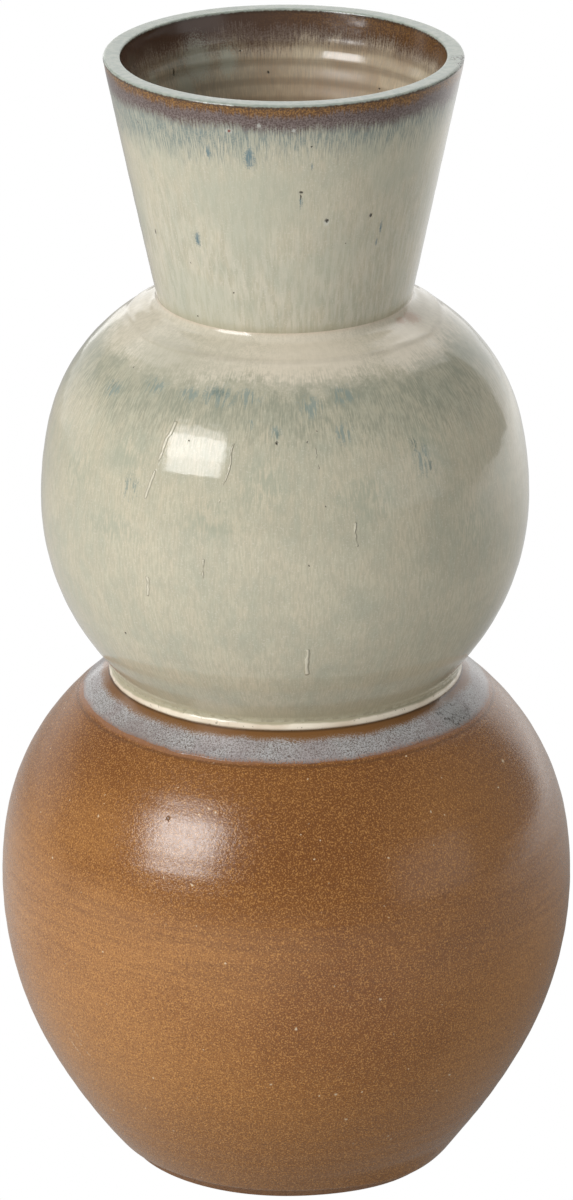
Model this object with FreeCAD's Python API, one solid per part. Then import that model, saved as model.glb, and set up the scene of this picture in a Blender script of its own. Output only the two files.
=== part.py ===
"""Double gourd vase: three thrown stoneware sections luted together, with their coats of glaze.

Every piece is a ring turned about the vertical axis, so each is drawn as a flat section on the
right of the axis and then revolved. The clay is drawn first. A coat of glaze lies between the
clay's outline and a parallel outline one coat further out, so the two share their surface.
Lengths are millimetres, Z is up, and the origin is the middle of the foot's resting plane.
"""
import FreeCAD, Part
import math
import os
from FreeCAD import Vector

# Thrown sections, heights along the axis
lower_bulb_height = 199.0
upper_bulb_height = 151.9
neck_height = 96.7
slip_thickness = 0.8

# Coats of glaze
glaze_thickness = 0.8
shoulder_band_thickness = 0.3
shoulder_band_width = 15.0
rim_coat_depth = 5.0

# Lower bulb
belly_radius = 112.0
belly_height = 113.5
waist_radius = 68.1
lower_bulb_wall = 7.5
waist_rim_width = 8.1
floor_thickness = 8.0
floor_cove_radius = 24.0

# Turned foot
foot_edge_radius = 67.8
foot_height = 5.0
foot_bevel = 4.2
foot_ring_width = 10.6
foot_recess_depth = 3.0
foot_recess_draft = 2.0

# Upper bulb, its widest circle measured from its own rim
bulb_radius = 94.4
bulb_widest_rise = 71.7
bulb_wall = 7.0
bulb_start_step = 0.2
waist_groove_depth = 0.5
waist_groove_top = 6.0

# Coil pressed into the waist corner
coil_radius = 2.0
coil_setback = 1.5
coil_press = 0.15
coil_clearance = 0.2

# Neck and lip
crease_radius = 48.2
neck_root_wall = 6.2
lip_radius = 68.5
lip_wall = 5.6
lip_outer_round = 1.6
lip_inner_round = 1.2

# How the curve of each flank is spread: its first arc's radius and turn as shares of those of
# the single arc that would make the whole flank
shoulder_shares = (1.3402, 0.1472)
skirt_shares = (0.9210, 0.6091)
bulb_shoulder_shares = (1.5209, 0.2004)
bulb_bowl_shares = (0.9717, 0.8400)

# A neck outline starts this far under the crease, and a cutting outline runs this far past
neck_root = 3.0
overrun = 20.0

# Radii and levels worked out from the sizes above
waist_bore_radius = waist_radius - waist_rim_width
waist_groove_radius = waist_radius - waist_groove_depth
coil_ring_radius = waist_radius - coil_setback
foot_rest_radius = foot_edge_radius - foot_bevel
foot_inner_radius = foot_rest_radius - foot_ring_width
neck_bore_radius = crease_radius - neck_root_wall
waist_level = lower_bulb_height
bulb_base_level = waist_level + slip_thickness
crease_level = bulb_base_level + upper_bulb_height
neck_base_level = crease_level + slip_thickness
lip_level = neck_base_level + neck_height
floor_level = foot_recess_depth + floor_thickness
quarter = math.pi / 2
full_turn = 360
mm3_per_cm3 = 1000


def at(radius, level):
    """Point of the section at a radius from the axis and a level above the table."""
    return Vector(radius, 0, level)


def toward(centre, angle, distance):
    """Point at a distance from a centre, angle in radians up from the outward direction."""
    return centre + Vector(math.cos(angle), 0, math.sin(angle)) * distance


def angle_from(centre, point):
    """Angle, up from the outward direction, at which a centre sees a point."""
    return math.atan2(point.z - centre.z, point.x - centre.x)


def line(start, end):
    """Straight edge."""
    return Part.LineSegment(start, end).toShape()


def arc(centre, radius, start_angle, end_angle):
    """Circular edge about a centre, from one angle to another."""
    middle_angle = (start_angle + end_angle) / 2
    ends = [toward(centre, a, radius) for a in (start_angle, middle_angle, end_angle)]
    return Part.Arc(*ends).toShape()


def section(edges):
    """Flat face inside a closed loop of edges."""
    return Part.Face(Part.Wire(edges))


def polygon(*points):
    """Flat face with straight sides."""
    return Part.Face(Part.makePolygon(list(points) + [points[0]]))


def disc(centre, radius):
    """Flat round face in the plane of the section."""
    return Part.Face(Part.Wire(Part.makeCircle(radius, centre, Vector(0, 1, 0))))


def band_between(low, high):
    """Flat face that covers everything between two levels."""
    reach = max(belly_radius, bulb_radius, lip_radius) + overrun
    return polygon(at(0, low), at(reach, low), at(reach, high), at(0, high))


class Flank:
    """One flank of a bulb: two tangent arcs from the widest circle up, or down, to an end point.

    A single arc that leaves the widest circle vertically and passes through the end point has a
    radius of the squared chord over twice the step inwards. The first arc's radius and turn are
    shares of this arc's, so a taller or wider flank keeps its character. The second arc goes on
    without a kink and passes through the end point, which fixes its radius in the same way,
    along the inward normal. A parallel outline keeps both centres and changes both radii alike.
    """

    def __init__(self, widest, end, shares, upward):
        radius_share, turn_share = shares
        self.side = 1 if upward else -1
        step = widest.x - end.x
        rise = abs(end.z - widest.z)
        self.turn = 2 * math.atan2(step, rise) * turn_share
        self.first_radius = (step**2 + rise**2) / (2 * step) * radius_share
        self.first_centre = widest - Vector(self.first_radius, 0, 0)
        joint = toward(self.first_centre, self.side * self.turn, self.first_radius)
        inward = toward(Vector(), self.side * self.turn, -1)
        chord = end - joint
        self.second_radius = chord.dot(chord) / (2 * chord.dot(inward))
        self.second_centre = joint + inward * self.second_radius
        self.end_angle = angle_from(self.second_centre, end)

    def point(self, angle, shift):
        """Point of the second arc's parallel outline at an angle."""
        return toward(self.second_centre, angle, self.second_radius + shift)

    def end(self, shift):
        """End point of the parallel outline."""
        return self.point(self.end_angle, shift)

    def angle_at_radius(self, radius, shift):
        """Angle at which the second arc's parallel outline reaches a radius from the axis."""
        across = (radius - self.second_centre.x) / (self.second_radius + shift)
        return self.side * math.acos(across)

    def edges(self, shift, last_angle=None):
        """Both arcs of the parallel outline, widest circle first."""
        joint_angle = self.side * self.turn
        last = self.end_angle if last_angle is None else last_angle
        first = arc(self.first_centre, self.first_radius + shift, 0, joint_angle)
        second = arc(self.second_centre, self.second_radius + shift, joint_angle, last)
        return [first, second]


belly = at(belly_radius, belly_height)
shoulder_end = at(waist_radius, waist_level)
foot_edge = at(foot_edge_radius, foot_height)
shoulder = Flank(belly, shoulder_end, shoulder_shares, True)
skirt = Flank(belly, foot_edge, skirt_shares, False)

bulb_widest = at(bulb_radius, bulb_base_level + bulb_widest_rise)
bulb_start = at(waist_radius + bulb_start_step, waist_level + waist_groove_top)
crease = at(crease_radius, crease_level)
bulb_shoulder = Flank(bulb_widest, crease, bulb_shoulder_shares, True)
bulb_bowl = Flank(bulb_widest, bulb_start, bulb_bowl_shares, False)


def lower_inside(depth):
    """Inner outline of the lower bulb at a depth under its outer one, from axis to waist bore.

    The floor meets the wall in a cove. The cove's centre is one cove radius above the floor and
    lies inside the skirt's inner arc by the same amount, so the cove touches both.
    """
    lining = depth - lower_bulb_wall
    floor = floor_level + lining
    cove_level = floor_level + floor_cove_radius
    swing = skirt.second_radius - lower_bulb_wall - floor_cove_radius
    drop = cove_level - skirt.second_centre.z
    cove_reach = skirt.second_centre.x + math.sqrt(swing**2 - drop**2)
    cove_centre = at(cove_reach, cove_level)
    cove_radius = floor_cove_radius - lining
    cove_angle = angle_from(skirt.second_centre, cove_centre)
    cove = arc(cove_centre, cove_radius, -quarter, cove_angle)
    bore = waist_bore_radius - lining
    bore_angle = shoulder.angle_at_radius(bore, -depth)
    bore_point = shoulder.point(bore_angle, -depth)
    rim_point = at(bore, waist_level)
    edges = [line(at(0, floor), at(cove_reach, floor)), cove]
    edges += skirt.edges(-depth, cove_angle)
    edges += shoulder.edges(-depth, bore_angle)
    edges.append(line(bore_point, rim_point))
    return edges, at(0, floor), rim_point


def upper_inside(depth, base_level=waist_level):
    """Inner outline of the upper bulb at a depth under its outer one, waist bore to neck bore.

    The clay starts on top of the slip. The liner coat starts one seam lower and so covers it.
    """
    lining = depth - bulb_wall
    low_bore = waist_bore_radius - lining
    high_bore = neck_bore_radius - lining
    low_angle = bulb_bowl.angle_at_radius(low_bore, -depth)
    high_angle = bulb_shoulder.angle_at_radius(high_bore, -depth)
    low_rim = at(low_bore, base_level)
    high_rim = at(high_bore, crease_level)
    edges = [line(low_rim, bulb_bowl.point(low_angle, -depth))]
    edges += bulb_bowl.edges(-depth, low_angle)
    edges += bulb_shoulder.edges(-depth, high_angle)
    edges.append(line(bulb_shoulder.point(high_angle, -depth), high_rim))
    return edges, low_rim, high_rim


# The neck's sides are straight. Its outer side runs from the crease to the lip's outer rounding,
# and its inner side from the neck bore to the lip's inner rounding.
outer_round = at(lip_radius - lip_outer_round, lip_level - lip_outer_round)
inner_round = at(lip_radius - lip_wall + lip_inner_round, lip_level - lip_inner_round)
neck_bore = at(neck_bore_radius, crease_level)


def touch_angle(start, centre, radius, side):
    """Angle on a rounding where a straight side that comes from a start point touches it."""
    reach = centre - start
    lean = angle_from(start, centre)
    return lean + side * math.acos(-radius / reach.Length)


outer_touch = touch_angle(crease, outer_round, lip_outer_round, -1)
inner_touch = touch_angle(neck_bore, inner_round, lip_inner_round, 1)


def neck_section(coat):
    """Flat face of the neck and lip with a coat of a given thickness all round.

    The outline climbs the outer side, rounds the lip and comes down the inner side. Both sides
    start a root's length under the crease, where the pieces below cut them off.
    """
    outer_root = toward(crease, outer_touch, coat) - toward(Vector(), outer_touch + quarter, neck_root)
    inner_root = toward(neck_bore, inner_touch, coat) - toward(Vector(), inner_touch - quarter, neck_root)
    outer_reach = lip_outer_round + coat
    inner_reach = lip_inner_round + coat
    edges = [
        line(outer_root, toward(outer_round, outer_touch, outer_reach)),
        arc(outer_round, outer_reach, outer_touch, quarter),
        line(toward(outer_round, quarter, outer_reach), toward(inner_round, quarter, inner_reach)),
        arc(inner_round, inner_reach, quarter, inner_touch),
        line(toward(inner_round, inner_touch, inner_reach), inner_root),
        line(inner_root, outer_root),
    ]
    return section(edges)


def coil_centre():
    """Centre of the coil's round section, pressed a little into the rim that it lies on."""
    return at(coil_ring_radius, waist_level + coil_radius - coil_press)


def lower_bulb_section():
    """Clay of the lower bulb: floor, foot ring, skirt, belly, shoulder and joining rim."""
    inner, floor_middle, rim_inner = lower_inside(lower_bulb_wall)
    recess_edge = at(foot_inner_radius - foot_recess_draft, foot_recess_depth)
    underside = [
        at(0, foot_recess_depth),
        recess_edge,
        at(foot_inner_radius, 0),
        at(foot_rest_radius, 0),
        foot_edge,
    ]
    edges = [line(a, b) for a, b in zip(underside, underside[1:])]
    edges += skirt.edges(0) + shoulder.edges(0)
    edges += inner
    edges.append(line(shoulder_end, rim_inner))
    edges.append(line(floor_middle, at(0, foot_recess_depth)))
    return section(Part.sortEdges(edges)[0])


def upper_bulb_section():
    """Clay of the upper bulb, groove and flat joining rims included, before the coil's bed is cut."""
    inner, low_rim, high_rim = upper_inside(bulb_wall, bulb_base_level)
    groove_foot = at(waist_groove_radius, bulb_base_level)
    groove_top = at(waist_groove_radius, coil_centre().z + coil_radius)
    groove = [low_rim, groove_foot, groove_top, bulb_start]
    edges = [line(a, b) for a, b in zip(groove, groove[1:])]
    edges += bulb_bowl.edges(0) + bulb_shoulder.edges(0)
    edges += inner
    edges.append(line(crease, high_rim))
    return section(Part.sortEdges(edges)[0])


def waist_slip_section():
    """Slip between the two bulbs, from the bore to the coil."""
    bore = waist_bore_radius
    ring = polygon(
        at(bore, waist_level),
        at(coil_ring_radius, waist_level),
        at(coil_ring_radius, bulb_base_level),
        at(bore, bulb_base_level),
    )
    return ring.cut(disc(coil_centre(), coil_radius))


def flank_coat(lower_flank, upper_flank, inner_shift, outer_shift):
    """Coat over a whole bulb, between two parallel outlines, closed square to the surface."""
    edges = lower_flank.edges(inner_shift) + upper_flank.edges(inner_shift)
    edges += lower_flank.edges(outer_shift) + upper_flank.edges(outer_shift)
    edges.append(line(lower_flank.end(inner_shift), lower_flank.end(outer_shift)))
    edges.append(line(upper_flank.end(inner_shift), upper_flank.end(outer_shift)))
    return section(Part.sortEdges(edges)[0])


def shoulder_band_section():
    """Second coat on the shoulder, from the coil outwards for its width along the surface."""
    top = glaze_thickness + shoulder_band_thickness
    start = shoulder.end_angle - shoulder_band_width / shoulder.second_radius
    inner = shoulder.second_radius + glaze_thickness
    outer = shoulder.second_radius + top
    edges = [
        arc(shoulder.second_centre, inner, start, shoulder.end_angle),
        line(shoulder.end(glaze_thickness), shoulder.end(top)),
        arc(shoulder.second_centre, outer, shoulder.end_angle, start),
        line(shoulder.point(start, top), shoulder.point(start, glaze_thickness)),
    ]
    return section(edges)


def upper_bulb_glaze_section():
    """Coat over the upper bulb and down its groove, as far as the coil's own coat."""
    groove_top = coil_centre().z + coil_radius
    groove_face = waist_groove_radius + glaze_thickness
    lower_end = [
        bulb_start,
        at(waist_groove_radius, groove_top),
        at(waist_groove_radius, coil_centre().z),
        at(groove_face, coil_centre().z),
        at(groove_face, groove_top),
        bulb_bowl.end(glaze_thickness),
    ]
    edges = [line(a, b) for a, b in zip(lower_end, lower_end[1:])]
    edges += bulb_bowl.edges(0) + bulb_shoulder.edges(0)
    edges += bulb_bowl.edges(glaze_thickness) + bulb_shoulder.edges(glaze_thickness)
    edges.append(line(bulb_shoulder.end(0), bulb_shoulder.end(glaze_thickness)))
    whole = section(Part.sortEdges(edges)[0])
    return whole.cut(disc(coil_centre(), coil_radius + glaze_thickness))


def liner_section(outline, wall):
    """Liner coat between the clay's inner outline and a parallel one closer to the axis."""
    outer, outer_start, outer_end = outline(wall)
    inner, inner_start, inner_end = outline(wall + glaze_thickness)
    edges = outer + inner + [line(outer_end, inner_end), line(outer_start, inner_start)]
    return section(Part.sortEdges(edges)[0])


def outermost(shape):
    """The face of a flat cut that lies furthest from the axis."""
    return max(shape.Faces, key=lambda face: face.CenterOfMass.x)


def innermost(shape):
    """The face of a flat cut that lies nearest to the axis."""
    return min(shape.Faces, key=lambda face: face.CenterOfMass.x)


def largest(shape):
    """The face of a flat cut that is the piece itself, without slivers beside it."""
    return max(shape.Faces, key=lambda face: face.Area)


def turned(shape):
    """Solid of a flat section turned once round the axis."""
    return largest(shape).revolve(Vector(), Vector(0, 0, 1), full_turn)


def vase_sections():
    """Every piece's flat section, by the name of its node."""
    top = lip_level + overrun
    rim_edge = lip_level - rim_coat_depth
    whole_bulb = upper_bulb_section()
    whole_neck = neck_section(0)
    neck_coat = neck_section(glaze_thickness).cut(whole_neck)
    sides = neck_coat.common(band_between(crease_level - overrun, rim_edge))
    flat = {}
    flat["lower_bulb"] = lower_bulb_section()
    flat["upper_bulb"] = whole_bulb.cut(disc(coil_centre(), coil_radius + coil_clearance))
    flat["neck"] = whole_neck.common(band_between(neck_base_level, top))
    flat["neck_slip_seam"] = whole_neck.common(band_between(crease_level, neck_base_level))
    flat["waist_slip_seam"] = waist_slip_section()
    flat["lower_bulb_glaze"] = flank_coat(skirt, shoulder, 0, glaze_thickness)
    flat["shoulder_glaze_band"] = shoulder_band_section()
    flat["upper_bulb_glaze"] = upper_bulb_glaze_section().cut(whole_neck)
    under_coil = [flat[name] for name in ("lower_bulb", "lower_bulb_glaze", "shoulder_glaze_band")]
    flat["waist_bead"] = disc(coil_centre(), coil_radius).cut(under_coil)
    round_coil = under_coil + [whole_bulb, flat["waist_slip_seam"], flat["upper_bulb_glaze"]]
    round_coil.append(disc(coil_centre(), coil_radius))
    bead_coat = disc(coil_centre(), coil_radius + glaze_thickness)
    flat["waist_bead_glaze"] = bead_coat.cut(round_coil)
    bulb_top = [flat["upper_bulb"], flat["upper_bulb_glaze"]]
    flat["neck_glaze"] = largest(outermost(sides).cut(bulb_top))
    flat["rim_glaze"] = neck_coat.common(band_between(rim_edge, top))
    flat["neck_liner_glaze"] = innermost(sides).common(band_between(crease_level, rim_edge))
    flat["upper_bulb_liner_glaze"] = liner_section(upper_inside, bulb_wall)
    flat["lower_bulb_liner_glaze"] = liner_section(lower_inside, lower_bulb_wall)
    return flat


os.makedirs("parts", exist_ok=True)
for name, flat_section in vase_sections().items():
    solid = turned(flat_section)
    box = solid.optimalBoundingBox()
    volume = solid.Volume / mm3_per_cm3
    print(f"{name}: {volume:.1f} cm3, from {box.ZMin:.2f} to {box.ZMax:.2f} mm above the table")
    solid.exportStep(f"parts/{name}.step")
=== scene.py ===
# %% [markdown]
# # A double gourd vase in glazed stoneware
# The vase is thrown in three parts: a wide lower bulb, a smaller upper bulb and a neck that opens
# like a cone. Two seams of slip join them, and a thin coil of clay is pressed into the waist.
# Each part has its own coat of glaze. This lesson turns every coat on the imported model's own
# outlines, then mixes the glazes as node materials.

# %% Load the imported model
import bpy
import numpy as np
from functools import reduce
from math import atan2, cos, pi, radians, sin, sqrt
from mathutils import Matrix, Vector


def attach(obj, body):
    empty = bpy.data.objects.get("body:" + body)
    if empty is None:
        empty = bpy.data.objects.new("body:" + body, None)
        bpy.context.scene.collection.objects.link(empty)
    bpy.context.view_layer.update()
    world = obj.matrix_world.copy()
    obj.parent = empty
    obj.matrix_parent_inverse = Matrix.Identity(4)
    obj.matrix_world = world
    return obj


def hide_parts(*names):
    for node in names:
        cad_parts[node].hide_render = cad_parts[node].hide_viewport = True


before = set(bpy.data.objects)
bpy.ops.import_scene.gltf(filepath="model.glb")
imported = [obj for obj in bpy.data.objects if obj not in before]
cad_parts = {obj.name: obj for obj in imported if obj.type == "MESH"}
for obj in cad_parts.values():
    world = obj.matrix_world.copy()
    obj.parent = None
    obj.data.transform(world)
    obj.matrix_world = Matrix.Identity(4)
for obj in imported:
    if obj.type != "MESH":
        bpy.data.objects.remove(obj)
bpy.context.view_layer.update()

print("nodes in the frame:", len(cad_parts))

# %% [markdown]
# ## The camera
# The photograph looks down on the vase from far away through a long lens, so the outline is
# nearly free of perspective. The camera aims at a point on the axis. It could be placed by eye,
# but the lip, the waist and the foot are circles whose ellipses give the pitch and the distance,
# so those numbers are used. It is rolled by a fraction of a degree, because the vase leans a
# little to the left in the picture.

# %% Place the camera
picture_height = 1200
focal_pixels = 7610
sensor_side = 36.0
camera_pitch = radians(20.444)
camera_distance = 2.9797
camera_roll = radians(0.18)
aim = Vector((0.00043, 0.0, 0.22743))

camera_data = bpy.data.cameras.new("camera")
camera_data.sensor_width = sensor_side
camera_data.lens = focal_pixels / picture_height * sensor_side
camera_data.clip_end = 60
camera = bpy.data.objects.new("camera", camera_data)
bpy.context.collection.objects.link(camera)
away = Vector((0, -cos(camera_pitch), sin(camera_pitch)))
camera.location = aim + away * camera_distance
looking = (-away).to_track_quat("-Z", "Y").to_matrix().to_4x4()
camera.rotation_euler = (looking @ Matrix.Rotation(-camera_roll, 4, "Z")).to_euler()
bpy.context.scene.camera = camera
print("lens in mm:", round(camera_data.lens, 1))

# %% [markdown]
# ## The outline of the clay
# A thrown pot is fully told by its outline, so everything starts from the sizes of the solid
# model, in metres. A point of an outline is a radius from the axis and a level above the table.

# %% Sizes of the clay
glaze = 0.0008
band_glaze = 0.0003
belly = (0.1120, 0.1135)
waist = (0.0681, 0.1990)
foot_edge = (0.0678, 0.0050)
foot_rest = 0.0636
foot_inside = 0.0530
recess = 0.0030
recess_draft = 0.0020
bulb_widest = (0.0944, 0.2715)
bulb_start = (0.0683, 0.2050)
crease = (0.0482, 0.3517)
groove_radius = 0.0676
coil = (0.0666, 0.20085)
coil_radius = 0.0020
lower_wall = 0.0075
waist_bore = 0.0600
floor_level = 0.0110
cove_radius = 0.0240
lip_level = 0.4492
lip_radius = 0.0685
lip_wall = 0.0056
outer_rounding = 0.0016
inner_rounding = 0.0012
vase_height = 0.4500
neck_bore = 0.0420
shoulder_shares = (1.3402, 0.1472)
skirt_shares = (0.9210, 0.6091)
bulb_shoulder_shares = (1.5209, 0.2004)
bulb_bowl_shares = (0.9717, 0.8400)


# %% [markdown]
# ## Arcs and flanks
# A flank of a bulb runs from its widest circle to an end, along two arcs that meet without a
# kink. One formula serves all four flanks. A coat of glaze is the same flank, shifted outwards.

# %% Arcs of an outline
def arc(centre, radius, first, last, points=400):
    """Points on a circle: the centre plus the radius times the cosine and sine of the angle."""
    angle = np.linspace(first, last, points)
    return np.stack([centre[0] + radius * np.cos(angle), centre[1] + radius * np.sin(angle)], 1)


def flank_circles(widest, end, shares, side):
    """The turn at which a flank's two circles meet, and each one's centre and radius.

    A single arc that leaves the widest circle upright and meets the end has the radius of the
    squared chord over twice the step inwards. The first arc takes its shares of that radius and
    turn. The second goes on along the first one's inward normal and passes through the end.
    """
    step, rise = widest[0] - end[0], abs(end[1] - widest[1])
    turn = 2 * atan2(step, rise) * shares[1]
    radius = (step**2 + rise**2) / (2 * step) * shares[0]
    centre = np.array([widest[0] - radius, widest[1]])
    outward = np.array([cos(turn), side * sin(turn)])
    joint = centre + outward * radius
    chord = np.array(end) - joint
    next_radius = chord @ chord / (-2 * chord @ outward)
    return turn, centre, radius, joint - outward * next_radius, next_radius


def flank(widest, end, shares, side, shift=0.0, last=None):
    """Two tangent arcs from a bulb's widest circle, up (side 1) or down (side -1), to an end.

    The shift is added to both radii. The line may stop early, at a last radius from the axis.
    """
    turn, centre, radius, next_centre, next_radius = flank_circles(widest, end, shares, side)
    final = atan2(end[1] - next_centre[1], end[0] - next_centre[0])
    if last is not None:
        final = side * np.arccos((last - next_centre[0]) / (next_radius + shift))
    first_arc = arc(centre, radius + shift, 0, side * turn)
    second_arc = arc(next_centre, next_radius + shift, side * turn, final)
    return np.concatenate([first_arc, second_arc[1:]])


def line(start, end, points=60):
    """Points from a start to an end, each the mix of both in equal steps."""
    return np.linspace(start, end, points)


def joined(*pieces):
    """One outline out of several, with doubled points left out."""
    whole = np.concatenate(pieces)
    steps = np.hypot(*np.diff(whole, axis=0).T)
    return whole[np.concatenate([[True], steps > 1e-7])]


def run_of(outline):
    """Distance along an outline from its first point, the running sum of its steps."""
    return np.concatenate([[0], np.cumsum(np.hypot(*np.diff(outline, axis=0).T))])


def lower_outline(shift, last=None):
    """Lower bulb's outline from foot to waist, a given shift outside the clay."""
    skirt = flank(belly, foot_edge, skirt_shares, -1, shift)[::-1]
    return joined(skirt, flank(belly, waist, shoulder_shares, 1, shift, last))


def upper_outline(shift):
    """Upper bulb's outline from its start at the waist to the crease under the neck."""
    bowl = flank(bulb_widest, bulb_start, bulb_bowl_shares, -1, shift)[::-1]
    return joined(bowl, flank(bulb_widest, crease, bulb_shoulder_shares, 1, shift))


for title, outline in (("lower", lower_outline(glaze)), ("upper", upper_outline(glaze))):
    print(title, "bulb: widest", round(outline[:, 0].max(), 5),
          "length", round(run_of(outline)[-1], 4))

# %% [markdown]
# ## Hand-made unevenness
# A wheel leaves faint rings, and the kiln and gravity leave slow waves. Noise on vertices would
# break at the seam where the turn closes. Cosines that go round a whole number of times close by
# themselves, so the unevenness is a sum of those, with a fixed seed for each piece.

# %% Waves that close round the pot
def waves(around, along, turns, lengths, height, seed, count=26):
    """Uneven height over azimuth and distance along the outline.

    The sum of cosines of: turns times azimuth, plus distance over a random wave length, plus a
    random start. The sum is squeezed so that it never passes the given height.
    """
    chance = np.random.default_rng(seed)
    total = 0
    for _ in range(count):
        times = chance.integers(turns[0], turns[1] + 1)
        pace = 2 * pi / chance.uniform(*lengths) * chance.choice([-1, 1])
        total = total + np.cos(times * around + pace * along + chance.uniform(0, 2 * pi))
    return height * np.tanh(total / sqrt(count))


def rings(around, along, lengths, height, seed, count=14):
    """Throwing rings: cosines along the outline that climb by one wave or none in each turn."""
    return waves(around, along, (0, 1), lengths, height, seed, count)


def soft_step(value, low, high):
    """0 below low, 1 above high, and between them three times the square less twice the cube."""
    share = np.clip((value - low) / (high - low), 0, 1)
    return share * share * (3 - 2 * share)


def hump(value, middle, width):
    """A bell: e to the power of minus the squared distance from the middle over the width."""
    return np.exp(-(((value - middle) / width) ** 2))


# %% [markdown]
# ## Turning a shell
# Every coat is a closed shell: an outer skin with its unevenness, and an inner skin that lies on
# the clay. Spin or Screw could turn a curve, but a grid worked out at once keeps the rows for
# the map and for the streaks that follow the surface. A sheet is such a grid: one table of
# radii and one of levels.

# %% Turn rows of points into a mesh
flow_radius = 0.08
glance = 1e-4
close_rows = np.array([0.0, 0.00008, 0.0002, 0.0005, 0.001])
end_margin = 0.0018


def azimuths(columns):
    """Angles round the axis, from the front to the right, without the doubled last one."""
    return np.arange(columns) * (2 * pi / columns)


def sheet(points):
    """Points of an outline as a sheet that is one column wide."""
    return np.asarray(points).T[:, :, None]


def read_at(places, run, tables):
    """Values of each table at places along the run that the tables follow."""
    return np.stack([np.interp(places, run, table) for table in tables])


def sampled(outline, places):
    """Points and outward normals of an outline at distances along it, both as sheets.

    The normal is the direction of travel turned a quarter to the right, so it points outwards
    where the outline climbs on the outside.
    """
    run, tables = run_of(outline), outline.T
    travel = read_at(places + glance, run, tables) - read_at(places - glance, run, tables)
    travel /= np.maximum(np.hypot(*travel), 1e-12)
    normals = np.stack([travel[1], -travel[0]])
    return read_at(places, run, tables)[..., None], normals[..., None]


def evenly(outline, count, start=0.0):
    """A count of points at even distances along an outline, as a sheet."""
    return sampled(outline, np.linspace(start, run_of(outline)[-1], count))[0]


def stations(length, pitch):
    """Distances for the rows: close together at both ends and evenly apart between them."""
    middle = np.linspace(end_margin, length - end_margin, max(int(length / pitch), 3))
    return np.concatenate([close_rows, middle, length - close_rows[::-1]])


def turned(name, surface, shown, run, closed=True, sharp=()):
    """Mesh of revolution from a sheet, with one row per ring and one column per angle.

    A vertex is radius times sine, minus radius times cosine, and level. Rows close into a loop,
    or end in poles on the axis when the piece is not closed. The map takes the first shown rows
    on most of its height and the hidden ones on the rest.
    """
    radius, level = surface
    rows, columns = radius.shape
    around = azimuths(columns)
    xyz = np.stack([radius * np.sin(around), -radius * np.cos(around), level], 2)
    index = np.arange(rows * columns).reshape(rows, columns)
    lower = index if closed else index[:-1]
    upper = np.roll(index, -1, 0) if closed else index[1:]
    faces = np.stack([lower, np.roll(lower, -1, 1), np.roll(upper, -1, 1), upper], 2)
    quads = faces.reshape(-1, 4).tolist()
    bands = len(lower)
    edge = np.concatenate([np.linspace(0.01, 0.9, shown),
                           np.linspace(0.91, 0.99, bands + 1 - shown)])
    left = np.tile(np.arange(columns) / columns, bands)
    right = left + 1 / columns
    low, high = np.repeat(edge[:-1], columns), np.repeat(edge[1:], columns)
    corners = np.stack([left, low, right, low, right, high, left, high], 1).reshape(-1, 2)
    vertices = xyz.reshape(-1, 3)
    flow = np.broadcast_arrays(flow_radius * np.sin(around), -flow_radius * np.cos(around),
                               run[:, None])
    flow = np.stack(flow, 2).reshape(-1, 3)
    fans = []
    if not closed:
        ring = np.arange(columns)
        after, top, poles = np.roll(ring, -1), (rows - 1) * columns, len(vertices) + np.arange(2)
        vertices = np.concatenate([vertices, [[0, 0, level[0, 0]], [0, 0, level[-1, 0]]]])
        flow = np.concatenate([flow, [[0, 0, run[0]], [0, 0, run[-1]]]])
        fans = np.concatenate([
            np.stack([after, ring, np.full(columns, poles[0])], 1),
            np.stack([top + ring, top + after, np.full(columns, poles[1])], 1)]).tolist()
        turn = np.stack([ring + 1, ring, ring + 0.5], 1) / columns
        first = np.stack([turn, np.tile((0.01, 0.01, 0.0), (columns, 1))], 2)
        last = np.stack([turn[:, [1, 0, 2]], np.tile((0.99, 0.99, 1.0), (columns, 1))], 2)
        corners = np.concatenate([corners, first.reshape(-1, 2), last.reshape(-1, 2)])
    mesh = bpy.data.meshes.new(name)
    mesh.from_pydata(vertices.tolist(), [], quads + fans)
    mesh.polygons.foreach_set("use_smooth", np.ones(len(mesh.polygons), bool))
    mesh.uv_layers.new(name="OFBake").data.foreach_set("uv", corners.astype(np.float32).ravel())
    mesh.attributes.new("flow", "FLOAT_VECTOR", "POINT").data.foreach_set(
        "vector", flow.astype(np.float32).ravel())
    if sharp:
        ends = np.zeros(len(mesh.edges) * 2, int)
        mesh.edges.foreach_get("vertices", ends)
        row = (ends // columns).reshape(-1, 2)
        crisp = (row[:, 0] == row[:, 1]) & np.isin(row[:, 0], sharp)
        mesh.attributes.new("sharp_edge", "BOOLEAN", "EDGE").data.foreach_set("value", crisp)
    mesh.validate()
    piece = bpy.data.objects.new(name, mesh)
    bpy.context.collection.objects.link(piece)
    print(name, "triangles", 2 * len(quads) + len(fans), "reach", round(float(radius.max()), 5),
          "levels", round(float(level.min()), 5), round(float(level.max()), 5))
    return piece


def coat(name, outer, lift, inner):
    """Closed coat: outer rows lifted along their normals, then the inner sheet back again."""
    points, normals, run = outer
    back = inner[:, ::-1] * np.ones(lift.shape[1])
    whole_run = np.concatenate([run, np.linspace(run[-1], run[0], back.shape[1])])
    surface = np.concatenate([points + normals * lift, back], 1)
    return turned(name, surface, len(run), whole_run, sharp=(0, len(run) - 1))


# %% [markdown]
# ## The lower bulb's coat
# The satin brown glaze covers the bulb from the foot to the waist. Its surface shows the faint
# rings of the throwing, and low on the right side the wall bulges a little over the foot. The
# same unevenness is used again for the band above it, so that the band lies on this coat.

# %% Coat of the lower bulb
lower_columns = 360
lower_around = azimuths(lower_columns)
bulge_height = 0.0029
bulge_azimuth = radians(40)
bulge_width = 0.38
hollow_height = -0.0004
hollow_azimuth = radians(-48)
sunk_for_waves = 0.00018


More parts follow.
